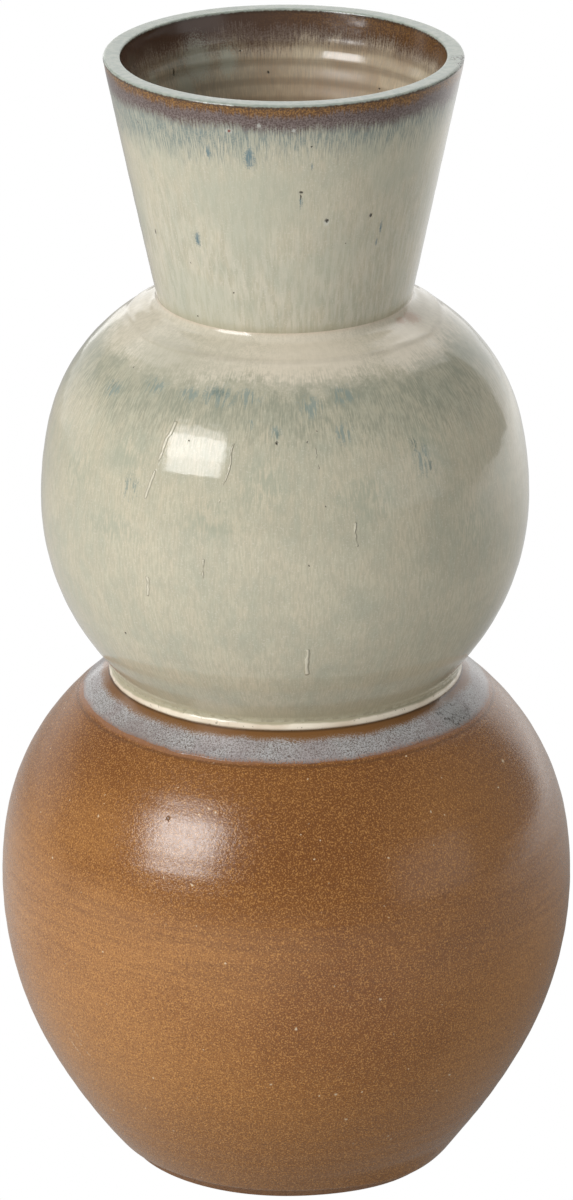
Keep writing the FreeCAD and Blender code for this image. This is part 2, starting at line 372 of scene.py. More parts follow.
def turn_from(around, azimuth):
    """Angle from an azimuth, between minus and plus half a turn."""
    return (around - azimuth + pi) % (2 * pi) - pi


def foot_bulge(around, level):
    """A swelling and a slight hollow of the wall at the foot: bells that fade out above it."""
    out = bulge_height * hump(turn_from(around, bulge_azimuth), 0, bulge_width)
    back = hollow_height * hump(turn_from(around, hollow_azimuth), 0, bulge_width)
    return (out + back) * (1 - soft_step(level, 0.0010, 0.0135))


def lower_lift(around, run, level):
    """Unevenness of the lower bulb's coat: slow waves, throwing rings and the bulge."""
    slow = waves(around, run, (1, 4), (0.12, 0.40), 0.00012, 11)
    fine = rings(around, run, (0.006, 0.016), 0.00004, 12)
    return slow + fine - sunk_for_waves + foot_bulge(around, level)


lower_coat_line = lower_outline(glaze)
lower_length = run_of(lower_coat_line)[-1]
lower_stations = stations(lower_length, pitch=0.00118)
lower_points, lower_normals = sampled(lower_coat_line, lower_stations)
lower_rows = lower_stations[:, None]
lower_height = lower_lift(lower_around, lower_rows, lower_points[1])
end_round = 0.0012
taper = np.sqrt(1 - (1 - np.clip(lower_rows / end_round, 0, 1)) ** 2)
lower_height = (lower_height + glaze) * taper - glaze
lower_bulb_coat = coat("lower_bulb_coat", (lower_points, lower_normals, lower_stations),
                       lower_height, evenly(lower_outline(0.0), 40))

# %% [markdown]
# ## The band on the shoulder
# A second glaze was brushed over the brown one just under the waist and ran a little in the
# kiln, so its lower edge wanders. It is a thin lens of glaze with a soft edge, a few tenths of a
# millimetre high.

# %% Band of glaze on the shoulder
band_width = 0.0150
band_sunk = 0.00025
edge_wander = 0.0008


def band_reach(around):
    """How far the band comes down from the waist at each azimuth, in metres along the coat."""
    slow = waves(around, 0.0, (2, 9), (1, 2), edge_wander, 21)
    quick = waves(around, 0.0, (14, 40), (1, 2), 0.0003, 22)
    return band_width + slow + quick


band_rows = 26
band_share = np.linspace(0, 1, band_rows)
band_run = lower_length - (1 - band_share)[:, None] * band_reach(lower_around)
band_start = read_at(band_run, lower_stations, lower_points[..., 0])
band_normal = read_at(band_run, lower_stations, lower_normals[..., 0])
under = lower_lift(lower_around, band_run, band_start[1])
swell = soft_step(band_share, 0.0, 0.75)[:, None]
roll_up = 1 + 0.12 * waves(lower_around, band_run, (8, 30), (0.004, 0.02), 1, 23)
over = under + band_glaze * swell * np.minimum(roll_up, 1.0)
band_skin = band_start + band_normal * over
band_back = band_start + band_normal * (under - band_sunk)
band_mean_run = band_run.mean(1)
shoulder_band_coat = turned(
    "shoulder_band_coat", np.concatenate([band_skin, band_back[:, ::-1]], 1), band_rows,
    np.concatenate([band_mean_run, band_mean_run[::-1]]), sharp=(band_rows - 1,))

# %% [markdown]
# ## The bead at the waist
# The coil of clay in the waist carries its own pale coat. The coat is a crescent in section, not
# a whole torus, half of which would lie hidden in the clay. It is a little thicker in some places
# than in others.

# %% Coat on the coil
bead_around = azimuths(480)
bead_sunk = 0.00006
clay_gap = 0.00002
bead_ends = radians(-78), radians(102)
bead_angles = np.linspace(*bead_ends, 30)[:, None]
back_angles = np.linspace(*bead_ends[::-1], 12)[:, None]
bead_place = bead_angles * 0.004
bead_wave = waves(bead_around, bead_place, (2, 7), (0.01, 0.05), 0.00010, 31)
bead_quick = waves(bead_around, bead_place, (15, 60), (0.002, 0.01), 0.00004, 32)
bead_outer = coil_radius + glaze + bead_wave + bead_quick - bead_sunk
bead_inner = np.full((len(back_angles), len(bead_around)), coil_radius + clay_gap)


def round_coil(reach, angles):
    """Sheet of points round the coil's own centre, at a reach from it."""
    return np.stack([coil[0] + reach * np.cos(angles), coil[1] + reach * np.sin(angles)])


bead_surface = np.concatenate([round_coil(bead_outer, bead_angles),
                               round_coil(bead_inner, back_angles)], 1)
bead_run = np.concatenate([bead_angles, back_angles])[:, 0] * coil_radius
bead_coat = turned("bead_coat", bead_surface, len(bead_angles), bead_run)

# %% [markdown]
# ## The upper bulb's coat
# This glaze is glossier and ran further. It starts in the groove above the bead, climbs the
# bulb and ends in a small fillet against the neck, where the glaze pooled in the crease. Just
# under the crease the shoulder dips, and a faint ridge stands sixteen millimetres below it.

# %% Coat of the upper bulb
upper_columns = 360
upper_around = azimuths(upper_columns)
groove_face = groove_radius + glaze
bulb_line = upper_outline(glaze)
fillet_reach = 0.0048
shoulder_top = bulb_line[-1]
neck_side_top, neck_side_root = (0.0693, 0.4476), (0.0491, 0.3521)
neck_lean = atan2(neck_side_top[1] - neck_side_root[1], neck_side_top[0] - neck_side_root[0])
fillet_run = run_of(bulb_line)
fillet_foot = read_at(fillet_run[-1] - fillet_reach, fillet_run, bulb_line.T)
fillet_top = shoulder_top + np.array([cos(neck_lean), sin(neck_lean)]) * fillet_reach * 0.8
share = np.linspace(0, 1, 40)[:, None]
fillet = ((1 - share) ** 2 * fillet_foot + 2 * share * (1 - share) * shoulder_top
          + share**2 * fillet_top)
bulb_body = bulb_line[fillet_run < fillet_run[-1] - fillet_reach]
groove_low, groove_high = coil[1] + 0.0008, coil[1] + coil_radius
groove_line = line((groove_face, groove_low), (groove_face, groove_high))
slope_line = line((groove_face, groove_high), bulb_line[0])
upper_coat_line = joined(groove_line, slope_line, bulb_body, fillet)
upper_length = run_of(upper_coat_line)[-1]
upper_stations = stations(upper_length, pitch=0.00088)
upper_points, upper_normals = sampled(upper_coat_line, upper_stations)
upper_rows = upper_stations[:, None]


def upper_lift(around, run):
    """Unevenness of the upper coat: slow waves, rings, the ridge and the dip under the neck."""
    slow = waves(around, run, (1, 4), (0.10, 0.30), 0.00012, 41)
    fine = rings(around, run, (0.006, 0.018), 0.00004, 42)
    from_crease = upper_length - run
    ridge = 0.00034 * hump(from_crease, 0.0160, 0.0016)
    dip = -0.00025 * hump(from_crease, 0.0065, 0.0035)
    ends = soft_step(run, 0.001, 0.008) * soft_step(from_crease, 0.0012, 0.008)
    return (slow + fine - sunk_for_waves) * ends + ridge + dip


upper_height = upper_lift(upper_around, upper_rows)
groove_top = (groove_radius, groove_high)
upper_clay = joined(line((groove_radius, groove_low), groove_top), line(groove_top, bulb_start),
                    upper_outline(0.0))
upper_bulb_coat = coat("upper_bulb_coat", (upper_points, upper_normals, upper_stations),
                       upper_height, evenly(upper_clay, 36))

# %% [markdown]
# ## The neck, the lip and the lining
# The glaze of the neck goes over the lip and down inside without a break. One outline is worked
# out for all of it and then shared out between three pieces, so their edges meet exactly.

# %% Outline over the lip
neck_columns = 320
neck_around = azimuths(neck_columns)
flat_points = 60


def leaning_side(start, centre, radius, side):
    """Angle on a rounding where a straight side that comes from a start point touches it."""
    reach = (centre[0] - start[0], centre[1] - start[1])
    lean = atan2(reach[1], reach[0])
    return lean + side * np.arccos(-radius / sqrt(reach[0] ** 2 + reach[1] ** 2))


def neck_outline(shift, outer_rounding, inner_rounding):
    """Neck's outline from the crease up, over the lip and down the bore, shifted off the clay.

    Two straight sides lean on the two roundings of the lip, which a short flat joins on top.
    """
    outer_centre = (lip_radius - outer_rounding, lip_level - outer_rounding)
    inner_centre = (lip_radius - lip_wall + inner_rounding, lip_level - inner_rounding)
    outer_touch = leaning_side(crease, outer_centre, outer_rounding, -1)
    inner_touch = leaning_side((neck_bore, crease[1]), inner_centre, inner_rounding, 1)
    along = np.array([cos(outer_touch), sin(outer_touch)])
    inward = np.array([cos(inner_touch), sin(inner_touch)])
    start = np.array(crease) + along * shift
    finish = np.array([neck_bore, crease[1]]) + inward * shift
    outer = arc(outer_centre, outer_rounding + shift, outer_touch, pi / 2, 60)
    inner = arc(inner_centre, inner_rounding + shift, pi / 2, inner_touch, 60)
    return joined(line(start, outer[0], 400), outer, line(outer[-1], inner[0], flat_points),
                  inner, line(inner[-1], finish, 400))


glazed_roundings = (0.0005, 0.0003)
neck_line = neck_outline(glaze, *glazed_roundings)
neck_run = run_of(neck_line)
rim_edge = 0.4442
peak = int(np.argmax(neck_line[:, 1]))
outer_edge = np.interp(rim_edge, neck_line[:peak, 1], neck_run[:peak])
past_flat = peak + flat_points
inner_edge = np.interp(-rim_edge, -neck_line[past_flat:, 1], neck_run[past_flat:])
print("length over the lip", round(neck_run[-1], 4), "lip from", round(outer_edge, 4),
      "to", round(inner_edge, 4))

# %% Coats of the neck, the lip and the bore
neck_foot = 0.0006
ring_pitch = 0.0074
ring_height = 0.00037
ring_swing = 0.0008
neck_sunk = 0.00014
lip_sunk = 0.00010
ring_run = inner_edge + 0.0112


def neck_lift(around, run):
    """Unevenness of the neck's glaze, outside, over the lip and inside."""
    slow = waves(around, run, (1, 4), (0.08, 0.25), 0.00010, 51)
    fine = rings(around, run, (0.006, 0.016), 0.00003, 52)
    inside = soft_step(run, inner_edge + 0.004, inner_edge + 0.011)
    swing = waves(around, 0.0, (1, 3), (1, 2), ring_swing, 53, 8)
    thrown = ring_height * np.sin(2 * pi * (run - ring_run + swing) / ring_pitch) * inside
    thrown = thrown * (0.24 + 0.71 * hump(run, ring_run, 0.0055)) * (1 + 0.2 * swing / ring_swing)
    on_lip = soft_step(run, outer_edge, outer_edge + 0.004) * (
        1 - soft_step(run, inner_edge - 0.004, inner_edge))
    lip_waves = waves(around, run, (3, 16), (0.01, 0.03), 0.00005, 54) * on_lip
    return slow + fine - neck_sunk + thrown + lip_waves - lip_sunk * on_lip


def neck_part(name, first, last, pitch, backing):
    """One piece of the neck's coat between two distances along the outline."""
    rows = first + stations(last - first, pitch)
    points, normals = sampled(neck_line, rows)
    lift = neck_lift(neck_around, rows[:, None])
    clay = neck_outline(0.0, outer_rounding, inner_rounding)
    clay_run = run_of(clay)
    clay_points, _ = sampled(clay, np.interp(np.linspace(first, last, backing),
                                             neck_run[[0, -1]], clay_run[[0, -1]]))
    return coat(name, (points, normals, rows), lift, clay_points)


neck_coat = neck_part("neck_coat", neck_foot, outer_edge, 0.0010, 24)
rim_coat = neck_part("rim_coat", outer_edge, inner_edge, 0.00035, 30)
neck_liner_coat = neck_part("neck_liner_coat", inner_edge, neck_run[-1], 0.0010, 24)

# %% [markdown]
# ## The foot
# The clay of the lower bulb shows only at the foot. It is trimmed on the wheel: a bevel, a flat
# ring to stand on and a shallow hollow underneath, with the fine rings of the trimming tool. The
# piece is the whole clay wall, because it stands for the solid of the lower bulb.

# %% Clay of the lower bulb with its trimmed foot
skirt_inside = flank(belly, foot_edge, skirt_shares, -1, -lower_wall)
shoulder_inside = flank(belly, waist, shoulder_shares, 1, -lower_wall, waist_bore)


def cove():
    """Rounding between the floor inside and the wall, and the level where it meets the wall.

    Its centre is one cove radius above the floor, and as far inside the wall's own arc.
    """
    *_, wall_centre, wall_radius = flank_circles(belly, foot_edge, skirt_shares, -1)
    swing = wall_radius - lower_wall - cove_radius
    drop = floor_level + cove_radius - wall_centre[1]
    centre = np.array([wall_centre[0] + sqrt(swing**2 - drop**2), floor_level + cove_radius])
    angle = atan2(centre[1] - wall_centre[1], centre[0] - wall_centre[0])
    stop = wall_centre[1] + (swing + cove_radius) * sin(angle)
    return arc(centre, cove_radius, -pi / 2, angle), stop


cove_line, cove_stop = cove()
skirt_part = skirt_inside[skirt_inside[:, 1] > cove_stop]
pole_gap = 0.0015
rest_round = 0.0010
bevel_turn = radians(40)
heel_round = 0.0008
heel_slope = 0.0006
foot_sunk = 0.00012
bulge_from, bulge_full = 0.0580, 0.0675
recess_edge = foot_inside - recess_draft
underside = joined(
    line((pole_gap, recess), (recess_edge, recess), 120),
    line((recess_edge, recess), (foot_inside - heel_slope, heel_slope)),
    arc((foot_inside + heel_round / 2, heel_round), heel_round, pi * 0.95, pi * 1.5, 20),
    line((foot_inside + heel_round, 0.0), (foot_rest - rest_round, 0.0)),
    arc((foot_rest - rest_round, rest_round), rest_round, -pi / 2, -bevel_turn, 20),
    line((foot_rest - rest_round + rest_round * cos(bevel_turn),
          rest_round - rest_round * sin(bevel_turn)), foot_edge))
wall_inside = joined(shoulder_inside[::-1], skirt_part[1:], cove_line[::-1],
                     line(cove_line[0], (pole_gap, floor_level)))
foot_rows = np.linspace(0, run_of(underside)[-1], 110)
foot_points, foot_normals = sampled(underside, foot_rows)
trimming = rings(lower_around, foot_rows[:, None], (0.0022, 0.006), 0.00010, 61)
worn = waves(lower_around, foot_rows[:, None], (2, 12), (0.01, 0.04), 0.00006, 62)
off_table = soft_step(foot_points[1], 0.0, 0.0012)
foot_lift = (trimming + worn - foot_sunk) * np.maximum(off_table, 0.25)
foot_skin = foot_points + foot_normals * foot_lift
foot_skin[0] += foot_bulge(lower_around, foot_points[1]) * soft_step(foot_points[0], bulge_from,
                                                                     bulge_full)
foot_skin[1] = np.maximum(foot_skin[1], 0.0)
rim_points = line(waist, (waist_bore, waist[1]), 5)[1:-1]
hidden = np.concatenate([evenly(lower_outline(0.0), 60, 0.001), sheet(rim_points),
                         evenly(wall_inside, 70)], 1)
hidden_length = 0.6
hidden_run = np.linspace(foot_rows[-1], foot_rows[-1] + hidden_length, hidden.shape[1])
foot_clay = turned("lower_bulb_clay",
                   np.concatenate([foot_skin, hidden * np.ones(lower_columns)], 1),
                   len(foot_rows), np.concatenate([foot_rows, hidden_run]), closed=False)

# %% [markdown]
# ## Mixing glazes out of nodes
# A glaze is described by what it does: where it is thick or thin, where it breaks over an edge,
# how it runs. Each of these is a small recipe of nodes. The helper below only shortens the
# writing: its calls add nodes and wire them.


# %% A short hand for nodes
def tone(red, green, blue):
    """Colour from the values of a screen, 0 to 255, as the linear light that nodes use."""
    screen = np.array([red, green, blue]) / 255
    light = np.where(screen <= 0.04045, screen / 12.92, ((screen + 0.055) / 1.055) ** 2.4)
    return (*light.tolist(), 1.0)


class Recipe:
    """One node tree with short calls: each adds a node, wires what it is given, and returns it."""

    def __init__(self, tree):
        self.tree = tree

    def add(self, kind, inputs=(), **settings):
        """New node of a kind, with settings and inputs by name or number."""
        node = self.tree.nodes.new(kind)
        for key, value in settings.items():
            setattr(node, key, value)
        for key, value in dict(inputs).items():
            self.put(node.inputs[key], value)
        return node

    def put(self, socket, value):
        """Links another node's output to a socket, or sets the socket's own value."""
        if isinstance(value, bpy.types.NodeSocket):
            self.tree.links.new(value, socket)
        else:
            socket.default_value = value

    def sums(self, operation, *values):
        """One step of arithmetic on values."""
        return self.add("ShaderNodeMath", dict(enumerate(values)), operation=operation).outputs[0]

    def times(self, a, b):
        """Product of two values."""
        return self.sums("MULTIPLY", a, b)

    def minus(self, a, b):
        """First value less the second."""
        return self.sums("SUBTRACT", a, b)

    def off(self, value, middle):
        """Distance of a value from a middle, on either side."""
        return self.sums("ABSOLUTE", self.minus(value, middle))

    def plus(self, *values):
        """Sum of several values."""
        return reduce(lambda a, b: self.sums("ADD", a, b), values)

    def most(self, *masks):
        """The greatest of several masks at each point."""
        return reduce(lambda a, b: self.sums("MAXIMUM", a, b), masks)

    def vector(self, operation, a, b=(0.0, 0.0, 0.0)):
        """One step of arithmetic on two vectors. A length or a distance comes out as a value."""
        node = self.add("ShaderNodeVectorMath", {0: a, 1: b}, operation=operation)
        single = operation in ("LENGTH", "DISTANCE", "DOT_PRODUCT")
        return node.outputs["Value" if single else "Vector"]

    def fade(self, value, low, high, start=0.0, end=1.0):
        """Smooth change from start, where the value is low, to end, where it is high."""
        inputs = dict(enumerate((value, low, high, start, end)))
        return self.add("ShaderNodeMapRange", inputs, interpolation_type="SMOOTHSTEP").outputs[0]

    def noise(self, place, scale, detail=2.0, rough=0.5):
        """Cloudy value round one half at a number of clouds per metre."""
        return self.add("ShaderNodeTexNoise", {"Vector": place, "Scale": scale, "Detail": detail,
                                               "Roughness": rough}).outputs[0]

    def sway(self, cloud, reach):
        """A cloudy value stretched to run from minus a reach to plus a reach."""
        return self.fade(cloud, 0.3, 0.7, -reach, reach)

    def mix(self, share, first, second):
        """Colour between the first, at share 0, and the second, at share 1."""
        return self.add("ShaderNodeMix", {0: share, 6: first, 7: second},
                        data_type="RGBA").outputs[2]

    def shades(self, share, first, second):
        """Colour between two tones."""
        return self.mix(share, tone(*first), tone(*second))

    def laid(self, colour, paint, mask, share=None):
        """The colour with a tone over it, as thick as the mask says, times a share."""
        cover = mask if share is None else self.times(mask, share)
        return self.mix(cover, colour, tone(*paint))

    def group(self, tree, **inputs):
        """A copy of a shared group with its own values."""
        return self.add("ShaderNodeGroup", inputs, node_tree=tree).outputs


def new_group(name, inputs, outputs):
    """A shared group of nodes with named sockets. Gives its tree, recipe and sockets."""
    tree = bpy.data.node_groups.new(name, "ShaderNodeTree")
    for title, kind in inputs.items():
        tree.interface.new_socket(title, in_out="INPUT", socket_type=kind)
    for title, kind in outputs.items():
        tree.interface.new_socket(title, in_out="OUTPUT", socket_type=kind)
    recipe = Recipe(tree)
    return tree, recipe, recipe.add("NodeGroupInput").outputs, recipe.add("NodeGroupOutput").inputs


FLOAT, COLOUR, VECTOR = "NodeSocketFloat", "NodeSocketColor", "NodeSocketVector"

# %% [markdown]
# ## Shared effects
# Five effects return in the glazes. Speckle is fine grain of iron or ash. Streaks are the hairs
# of glaze that ran down the wall, read from the flow that each mesh carries. A spot is a pinhole
# or a fleck at a place of its own, and a thread is a thin line between two places, such as the
# trail of a bubble. The last one is the running celadon itself.

# %% Speckle and streaks
speckle, make, given, out = new_group(
    "glaze_speckle", {"Place": VECTOR, "Grain": FLOAT, "Share": FLOAT, "Soft": FLOAT},
    {"Mask": FLOAT})
cloud = make.noise(given["Place"], given["Grain"], 1.0, 0.6)
make.put(out["Mask"], make.fade(cloud, make.minus(given["Share"], given["Soft"]),
                                make.plus(given["Share"], given["Soft"])))

streaks, make, given, out = new_group(
    "glaze_streaks", {"Flow": VECTOR, "Width": FLOAT, "Length": FLOAT, "Low": FLOAT, "High": FLOAT},
    {"Mask": FLOAT, "Wave": FLOAT})
slender = make.add("ShaderNodeCombineXYZ", {0: 1.0, 1: 1.0, 2: given["Length"]}).outputs[0]
hairs = make.noise(make.vector("MULTIPLY", given["Flow"], slender), given["Width"], 2.5, 0.55)
make.put(out["Mask"], make.fade(hairs, given["Low"], given["High"]))
make.put(out["Wave"], hairs)

# %% Spots and threads
spot, make, given, out = new_group(
    "glaze_spot", {"Place": VECTOR, "Centre": VECTOR, "Width": FLOAT, "Tall": FLOAT,
                   "Ragged": FLOAT}, {"Mask": FLOAT})
flat = make.sums("DIVIDE", 1.0, given["Tall"])
squat = make.add("ShaderNodeCombineXYZ", {0: 1.0, 1: 1.0, 2: flat}).outputs[0]
apart = make.vector("MULTIPLY", make.vector("SUBTRACT", given["Place"], given["Centre"]), squat)
ragged = make.times(make.vector("LENGTH", apart), given["Ragged"])
make.put(out["Mask"], make.fade(ragged, make.times(given["Width"], 0.3), given["Width"], 1.0, 0.0))

thread, make, given, out = new_group(
    "glaze_thread", {"Place": VECTOR, "Top": VECTOR, "Foot": VECTOR, "Width": FLOAT},
    {"Mask": FLOAT})
start = make.vector("SUBTRACT", given["Place"], given["Top"])
whole = make.vector("SUBTRACT", given["Foot"], given["Top"])
share = make.sums("DIVIDE", make.vector("DOT_PRODUCT", start, whole),
                  make.vector("DOT_PRODUCT", whole, whole))
share.node.use_clamp = True
nearest = make.add("ShaderNodeVectorMath", {0: whole, "Scale": share}, operation="SCALE")
distance = make.vector("DISTANCE", start, nearest.outputs[0])
make.put(out["Mask"], make.fade(distance, make.times(given["Width"], 0.2), given["Width"],
                                1.0, 0.0))

# %% The running celadon
running, make, given, out = new_group("running_celadon", {"Place": VECTOR, "Flow": VECTOR},
                                      {"Colour": COLOUR, "Hair": FLOAT, "Cloud": FLOAT})
hair = make.group(streaks, Flow=given["Flow"], Width=1700.0, Length=0.14, Low=0.36, High=0.64)
drift = make.group(streaks, Flow=given["Flow"], Width=240.0, Length=0.35, Low=0.38, High=0.62)
pale = make.group(speckle, Place=given["Place"], Grain=1500.0, Share=0.64, Soft=0.06)
cloud = make.noise(given["Place"], 46.0, 4.0, 0.62)
colour = make.shades(make.fade(cloud, 0.38, 0.64), (188, 182, 160), (172, 171, 152))
for paint, layer, share in (((190, 179, 156), drift, 0.40), ((163, 160, 141), hair, 0.55),
                            ((206, 200, 184), pale, 0.35)):
    colour = make.laid(colour, paint, layer["Mask"], share)
make.put(out["Colour"], colour)
make.put(out["Hair"], hair["Wave"])
make.put(out["Cloud"], cloud)
print("shared effects:", [g.name for g in bpy.data.node_groups])


# %% Places on the pot, and a material for each glaze
def on_pot(outline, azimuth, level):
    """Point of a turned outline at an azimuth in degrees and a level in millimetres."""
    order = np.argsort(outline[:, 1])
    radius = np.interp(level / 1000, outline[order, 1], outline[order, 0])
    angle = radians(azimuth)
    return (radius * sin(angle), -radius * cos(angle), level / 1000)


class Glaze(Recipe):
    """A material with one Principled shader, and the colour that its layers have built up."""

    def __init__(self, name, gloss, mirror=0.5, outline=None):
        self.material = bpy.data.materials.new(name)
        self.material.use_nodes = True
        super().__init__(self.material.node_tree)
        self.sockets = self.tree.nodes["Principled BSDF"].inputs
        self.sockets["Roughness"].default_value = gloss
        self.sockets["Specular IOR Level"].default_value = mirror
        self.outline = outline
        self.place = self.add("ShaderNodeTexCoord").outputs["Object"]
        self.flow = self.add("ShaderNodeAttribute", attribute_name="flow").outputs["Vector"]
        self.run = self.add("ShaderNodeSeparateXYZ", {0: self.flow}).outputs[2]
        self.level = self.add("ShaderNodeSeparateXYZ", {0: self.place}).outputs[2]

    def clouds(self, *settings):
        """Noise of the place: clouds per metre, detail and roughness."""
        return self.noise(self.place, *settings)

    def specks(self, grain, share, soft):
        """Mask of fine grain, in grains per metre, above a share of the noise."""
        return self.group(speckle, Place=self.place, Grain=grain, Share=share, Soft=soft)["Mask"]

    def hairs(self, width, length, low, high):
        """Mask and wave of streaks, from their number per metre and its share along the run."""
        return self.group(streaks, Flow=self.flow, Width=width, Length=length, Low=low, High=high)

    def spots(self, *marks, outline=None):
        """One mask of several spots, each an azimuth, a level, a width in mm and a tallness."""
        outline = self.outline if outline is None else outline
        edge = self.fade(self.clouds(1600.0, 1.0), 0.3, 0.7, 0.75, 1.3)
        return self.most(*(
            self.group(spot, Place=self.place, Centre=on_pot(outline, azimuth, level),
                       Width=width / 1000, Tall=tall, Ragged=edge)["Mask"]
            for azimuth, level, width, tall in marks))

    def threads(self, *marks):
        """One mask of several threads, each two azimuths with levels and a width in mm."""
        sway = self.add("ShaderNodeTexNoise", {"Vector": self.place, "Scale": 160.0})
        sway = self.vector("SUBTRACT", sway.outputs["Color"], (0.5, 0.5, 0.5))
        bent = self.vector("ADD", self.place, self.vector("MULTIPLY", sway, (0.0024, 0.0024, 0)))
        return self.most(*(
            self.group(thread, Place=bent, Top=on_pot(self.outline, *top),
                       Foot=on_pot(self.outline, *foot), Width=width / 1000)["Mask"]
            for top, foot, width in marks))

    def start_running(self):
        """Takes the running celadon as the first colour. Gives its hair and its cloud."""
        base = self.group(running, Place=self.place, Flow=self.flow)
        self.colour = base["Colour"]
        return base["Hair"], base["Cloud"]

    def lay(self, paint, mask, share=None):
        """Lays a tone over the colour so far."""
        self.colour = self.laid(self.colour, paint, mask, share)

    def finish(self, height, depth):
        """Wires the colour to the shader, and a height map, one unit of which is the depth."""
        self.put(self.sockets["Base Color"], self.colour)
        bump = self.add("ShaderNodeBump", {"Height": height, "Distance": depth})
        self.put(self.sockets["Normal"], bump.outputs[0])


# %% [markdown]
# ## The satin brown glaze
# An iron glaze that is thin and dry enough to show the grain of the clay. Its colour is tan with
# richer, redder clouds, a fine light speckle all over and a few pale flecks. Faint lines go round
# where the fingers drew the clay up. The gloss is broken by an orange-peel surface.

# %% Brown glaze of the lower bulb
rich_clouds = ((-60, 185, 26, 0.8), (8, 158, 40, 0.8), (16, 128, 34, 1.0), (-46, 182, 12, 0.7),
               (150, 150, 45, 1.0), (-120, 90, 40, 1.2), (100, 60, 35, 1.0),
               (18, 96, 60, 1.0), (40, 40, 40, 1.0))
dark_tan, light_tan = (100, 54, 10), (172, 120, 66)
# Rows of a tone, its share and its spots. The first row holds richer clouds. The second row
# lightens the bulb low on the left and on the right; its patches on the right, at 54 and 62
# degrees, are painted light. The third row is painted light, one patch of it on the window's
# highlight. The last row is painted shade low at the front, near the foot.
clouds_and_painted_light = (
    (dark_tan, 0.35, ((-5, 164, 42, 0.6), (-58, 186, 20, 0.5))),
    (light_tan, 0.55, ((-44, 75, 70, 1.0), (-66, 130, 50, 1.0), (-100, 80, 60, 1.2),
                       (-38, 118, 50, 0.8), (54, 62, 50, 1.2), (62, 96, 44, 1.0))),
    (light_tan, 0.32, ((-46, 160, 28, 0.7), (46, 158, 50, 1.0), (-14, 116, 40, 0.7),
                       (70, 112, 44, 1.2))),
    (dark_tan, 0.20, ((-14, 26, 60, 0.6),)))
pale_flecks = ((13.7, 46.9, 0.9, 1.0), (-3.4, 66.7, 0.8, 1.0), (10.6, 60.8, 1.0, 0.7),
               (27.7, 30.9, 0.7, 1.0), (-46, 165, 0.8, 1.0), (18.7, 103.1, 0.8, 1.0),
               (-16.6, 174.7, 0.6, 1.0), (64, 176, 1.0, 1.6), (-12, 120, 0.8, 0.6))
scratches = (((-52.5, 76), (-49, 70), 0.5), ((-51, 70), (-46.5, 62), 0.4),
             ((-54, 68), (-51, 61), 0.4))
tan = make = Glaze("tan_iron_glaze", 0.22, 0.58, lower_coat_line)
clouds = make.clouds(16.0, 4.0, 0.6)
richness = make.plus(make.fade(clouds, 0.36, 0.66, 0.0, 0.75),
                     make.times(make.spots(*rich_clouds), 0.55))
make.colour = make.shades(richness, (150, 98, 44), (126, 74, 20))
make.lay((153, 98, 32), make.fade(make.level, 0.015, 0.110, 0.75, 0.0))
make.lay((110, 64, 16), make.fade(make.level, 0.090, 0.165, 0.0, 0.72))
for paint, share, marks in clouds_and_painted_light:
    make.lay(paint, make.spots(*marks), share)
drawn = make.noise(make.vector("MULTIPLY", make.place, (22.0, 22.0, 620.0)), 1.0, 2.0, 0.6)
belt = make.fade(make.off(make.level, 0.130), 0.010, 0.030, 0.34, 0.14)
make.lay((108, 66, 30), belt, make.fade(drawn, 0.42, 0.62))
fine = make.specks(1750.0, 0.575, 0.08)
make.lay((204, 148, 80), fine, make.fade(make.level, 0.03, 0.15, 0.80, 0.52))
make.lay((96, 54, 16), make.specks(1400.0, 0.575, 0.07), 0.46)
scuffs = make.times(make.threads(*scratches), make.specks(1200.0, 0.5, 0.1))
pale = make.most(make.specks(420.0, 0.79, 0.02), make.spots(*pale_flecks), scuffs)
make.lay((222, 200, 168), pale, 0.75)
to_band = make.minus(lower_length - band_width, make.run)
make.lay((142, 100, 72), make.fade(make.plus(to_band, make.sway(clouds, 0.0008)),
                                   0.0, 0.0016, 0.75, 0.0))
make.lay((88, 52, 20), make.fade(make.off(to_band, 0.0019), 0.0002, 0.0009, 0.5, 0.0))
pit = make.spots((-27.6, 170.5, 1.1, 1.0))
make.lay((80, 52, 30), pit, 0.85)
peel = make.clouds(700.0, 2.0, 0.5)
make.put(make.sockets["Roughness"], make.fade(peel, 0.2, 0.8, 0.15, 0.29))
height = make.plus(peel, make.times(drawn, 0.35), make.times(fine, 0.20))
make.finish(make.minus(height, make.times(pit, 4.0)), 0.00006)

# %% [markdown]
# ## The band, the bead and the clay
# The lavender band is an opal glaze over the iron one: amber where it is thin against the bead,
# milky and blue-grey where it is thick, and rosy where it gives out. The bead is cream. The bare
# clay of the foot is the same warm brown without gloss.

# %% Lavender band glaze
lavender = make = Glaze("lavender_band_glaze", 0.17, outline=lower_coat_line)
from_waist = make.minus(lower_length, make.run)
grain = make.clouds(1800.0, 2.0, 0.6)
shifted = make.plus(from_waist, make.sway(make.clouds(40.0, 2.0), 0.0012),
                    make.sway(grain, 0.0007))
milk = make.shades(make.fade(grain, 0.36, 0.62), (96, 84, 78), (178, 176, 175))
milk = make.laid(milk, (168, 170, 172), make.hairs(1500.0, 0.35, 0.36, 0.62)["Mask"], 0.40)
milk = make.laid(milk, (134, 116, 116), make.fade(make.clouds(75.0, 3.0), 0.36, 0.66), 0.35)
make.colour = make.mix(make.fade(shifted, 0.0030, 0.0062), tone(126, 92, 60), milk)
make.lay((118, 78, 38), make.fade(shifted, 0.0018, 0.0040, 0.85, 0.0))
giving_out = make.sums("DIVIDE", make.plus(from_waist, make.sway(grain, 0.0014)), band_width)
make.lay((140, 94, 62), make.fade(giving_out, 0.86, 1.05))
make.lay((112, 100, 94), make.spots((-48, 187, 32, 0.5)), 0.48)
